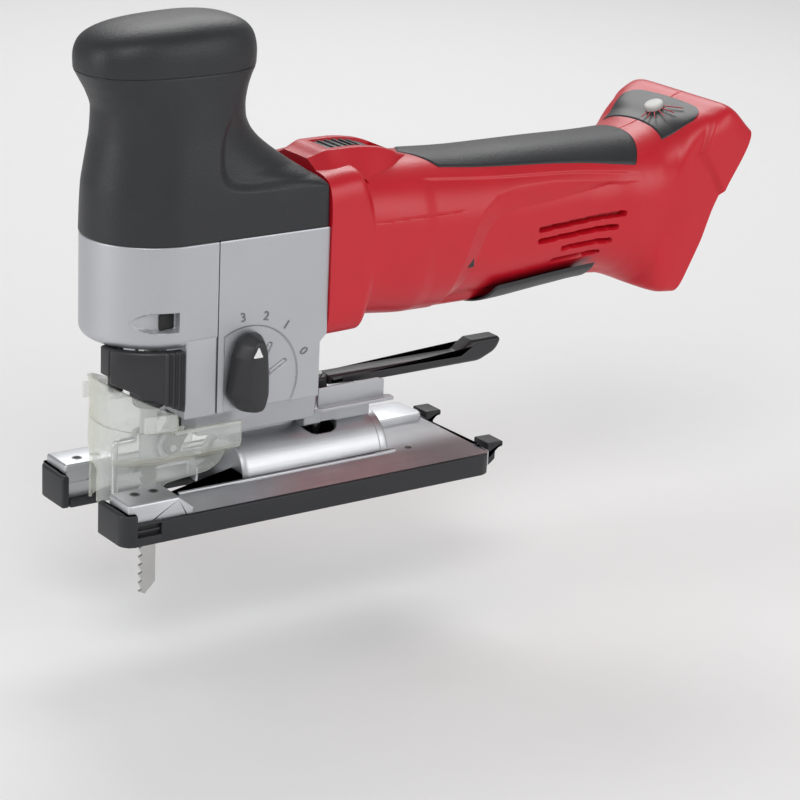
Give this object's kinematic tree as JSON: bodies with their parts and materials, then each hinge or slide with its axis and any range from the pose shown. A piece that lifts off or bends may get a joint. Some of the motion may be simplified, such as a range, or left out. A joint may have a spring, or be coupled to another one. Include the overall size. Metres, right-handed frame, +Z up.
{
  "type": "cordless jigsaw",
  "caption": "Body-grip cordless jigsaw with a tilting metal shoe, orbit selector, clear blade guard, palm knob and an open slide-in battery mount.",
  "frame": {"origin": "point where the line of the blade crosses the underside of the sole, at the middle of the plunger's travel", "axes": "+Z up along the blade, -X forwards in the cutting direction, -Y to the tool's left side with the orbit selector"},
  "size_m": [0.33, 0.0776, 0.2514],
  "materials": {
    "silver_paint": "satin silver",
    "cast_alloy": "as cast",
    "shoe_alloy": "brushed cast",
    "bronze": "plain",
    "steel": "ground",
    "wire_steel": "polished",
    "dark_steel": "blackened",
    "blade_steel": "ground",
    "core_steel": "laminated",
    "magnet": "ferrite, matte",
    "carbon": "carbon, matte",
    "copper": "copper",
    "red_plastic": "fine texture",
    "soft_black": "soft touch",
    "black_plastic": "satin",
    "grey_plastic": "satin",
    "clear_guard": "clear polycarbonate"
  },
  "bodies": {
    "housing": {"gear_housing": "silver_paint", "front_cover": "silver_paint", "gear_plate": "cast_alloy", "lower_bush": "bronze", "upper_bush": "bronze", "crank_axle": "steel", "grip_head": "soft_black", "knob_cap": "soft_black", "motor_housing_left": "red_plastic", "motor_housing_right": "red_plastic", "top_grip": "soft_black", "bottom_insert": "soft_black", "dial_panel": "black_plastic", "housing_screws": "dark_steel", "motor_can": "steel", "motor_magnets": "magnet", "motor_brushes": "carbon", "front_bearing": "steel", "rear_bearing": "steel", "bearing_holder": "black_plastic", "switch_body": "black_plastic", "electronics_module": "black_plastic", "battery_rails": "black_plastic", "terminal_block": "black_plastic", "foot_bracket": "steel", "fork_pin": "steel", "lever_pin": "steel", "wire_guard": "wire_steel"},
    "plunger": {"plunger_rod": "steel", "yoke": "dark_steel", "blade_clamp": "dark_steel", "saw_blade": "blade_steel"},
    "crank": {"crank_gear": "dark_steel", "crank_pin": "steel"},
    "armature": {"armature_shaft": "steel", "armature_core": "core_steel", "armature_windings": "copper", "commutator": "copper", "motor_fan": "black_plastic", "drive_pinion": "dark_steel"},
    "release": {"release_lever": "black_plastic"},
    "selector": {"selector_knob": "black_plastic", "selector_shaft": "steel"},
    "fork": {"roller_fork": "dark_steel", "roller_pin": "steel"},
    "roller": {"guide_roller": "steel"},
    "base": {"shoe": "shoe_alloy", "sole_cover": "soft_black"},
    "lock": {"lock_lever": "black_plastic", "lock_bolt": "wire_steel"},
    "guard": {"blade_guard": "clear_guard"},
    "switch": {"slide_switch": "black_plastic"},
    "dial": {"speed_dial": "grey_plastic"}
  },
  "joints": [
    {"name": "armature_spin", "type": "hinge", "parent": "housing", "child": "armature", "pos_m": [0.09, 0, 0.098], "axis": [1, 0, 0], "range_deg": [-382, 382]},
    {"name": "crank_turn", "type": "hinge", "parent": "housing", "child": "crank", "pos_m": [0.018, 0, 0.119], "axis": [1, 0, 0], "range_deg": [-90, 90]},
    {"name": "plunger_slide", "type": "slide", "parent": "housing", "child": "plunger", "axis": [0, 0, 1], "range_m": [-0.013, 0.013]},
    {"name": "release_turn", "type": "hinge", "parent": "housing", "child": "release", "pos_m": [-0.02, -0.007, 0.07], "axis": [0, 0, -1], "range_deg": [0, 60], "stiffness_Nm_per_rad": 0.02},
    {"name": "selector_turn", "type": "hinge", "parent": "housing", "child": "selector", "pos_m": [0.031, -0.03, 0.061], "axis": [0, 1, 0], "range_deg": [0, 78]},
    {"name": "fork_rock", "type": "hinge", "parent": "housing", "child": "fork", "pos_m": [0.022, 0, 0.046], "axis": [0, 1, 0], "range_deg": [-4, 0]},
    {"name": "roller_spin", "type": "hinge", "parent": "fork", "child": "roller", "pos_m": [0.0094, 0, 0.027], "axis": [0, 1, 0], "continuous": true},
    {"name": "shoe_tilt", "type": "hinge", "parent": "housing", "child": "base", "pos_m": [0.07, 0, 0.01], "axis": [1, 0, 0], "range_deg": [-15, 15]},
    {"name": "lock_swing", "type": "hinge", "parent": "housing", "child": "lock", "pos_m": [0.084, 0, 0.044], "axis": [0, 0, 1], "range_deg": [0, 60]},
    {"name": "guard_slide", "type": "slide", "parent": "housing", "child": "guard", "axis": [-1, 0, 0], "range_m": [0, 0.012]},
    {"name": "switch_slide", "type": "slide", "parent": "housing", "child": "switch", "axis": [-1, 0, 0], "range_m": [0, 0.006]},
    {"name": "dial_turn", "type": "hinge", "parent": "housing", "child": "dial", "pos_m": [0.268, 0, 0.1488], "axis": [-0.3511, 0, 0.9363], "range_deg": [0, 270]}
  ],
  "couplings": [
    {"joint": "crank_turn", "follows": "armature_spin", "ratio": -0.23529},
    {"joint": "plunger_slide", "follows": "armature_spin", "m_per_rad": -0.0019473},
    {"joint": "fork_rock", "follows": "selector_turn", "ratio": -0.05}
  ]
}
